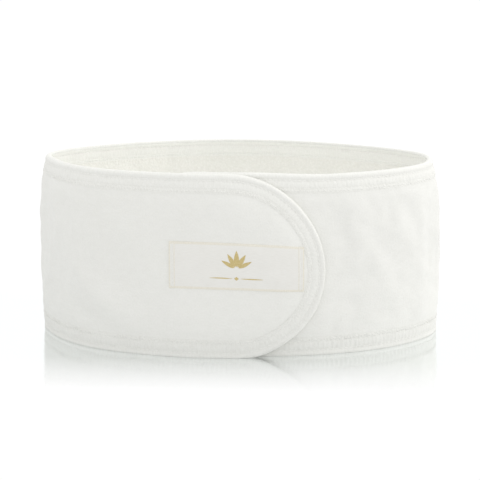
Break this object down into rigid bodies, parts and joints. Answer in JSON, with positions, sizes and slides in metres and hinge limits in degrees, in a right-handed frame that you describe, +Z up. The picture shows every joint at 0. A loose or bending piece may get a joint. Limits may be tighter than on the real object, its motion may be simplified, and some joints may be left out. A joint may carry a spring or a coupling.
{
  "type": "spa headband",
  "caption": "Soft terry spa headband closed into a loop by a hook-and-loop flap with a rounded end, hemmed edges and a sewn front label.",
  "frame": {"origin": "on the surface that the band stands on, at the middle of the band's footprint", "axes": "+X to the band's right as seen from the front, +Y from the labelled front to the back, +Z up the band's height"},
  "size_m": [0.2072, 0.1332, 0.09],
  "materials": {
    "velour": "off-white sheared cotton velour, matt with a soft pile",
    "terry": "off-white terry loops, matt",
    "binding": "off-white knitted edge binding, overlocked",
    "thread": "off-white polyester thread",
    "hook_tape": "white nylon hook tape",
    "loop_tape": "white brushed nylon loop tape",
    "satin": "off-white satin ribbon with a faint sheen",
    "gold_print": "pale metallic gold ink"
  },
  "bodies": {
    "root": {"outer_cover_back": "velour", "lining_back": "terry", "edge_binding_back": "binding", "rim_stitching_back": "thread", "hem_stitching_back": "thread", "loop_tape": "loop_tape", "loop_tape_stitching": "thread"},
    "left_arm": {"outer_cover_left": "velour", "lining_left": "terry", "edge_binding_left_top": "binding", "edge_binding_left_bottom": "binding", "rim_stitching_left_top": "thread", "rim_stitching_left_bottom": "thread", "hem_stitching_left_top": "thread", "hem_stitching_left_bottom": "thread"},
    "flap": {"outer_cover_flap": "velour", "lining_flap": "terry", "edge_binding_flap": "binding", "rim_stitching_flap": "thread", "hem_stitching_flap": "thread", "hook_tape": "hook_tape", "hook_tape_stitching": "thread", "label_ribbon": "satin", "label_stitching_left": "thread", "label_stitching_right": "thread", "label_motif": "gold_print", "label_rule": "gold_print"}
  },
  "joints": [
    {"name": "band_open", "type": "hinge", "parent": "root", "child": "left_arm", "pos_m": [-0.05556, 0.05457, 0.055], "axis": [0, 0, -1], "range_deg": [0, 75]},
    {"name": "flap_peel", "type": "hinge", "parent": "left_arm", "child": "flap", "pos_m": [-0.07251, -0.04912, 0.055], "axis": [0, 0, -1], "range_deg": [0, 90]}
  ]
}
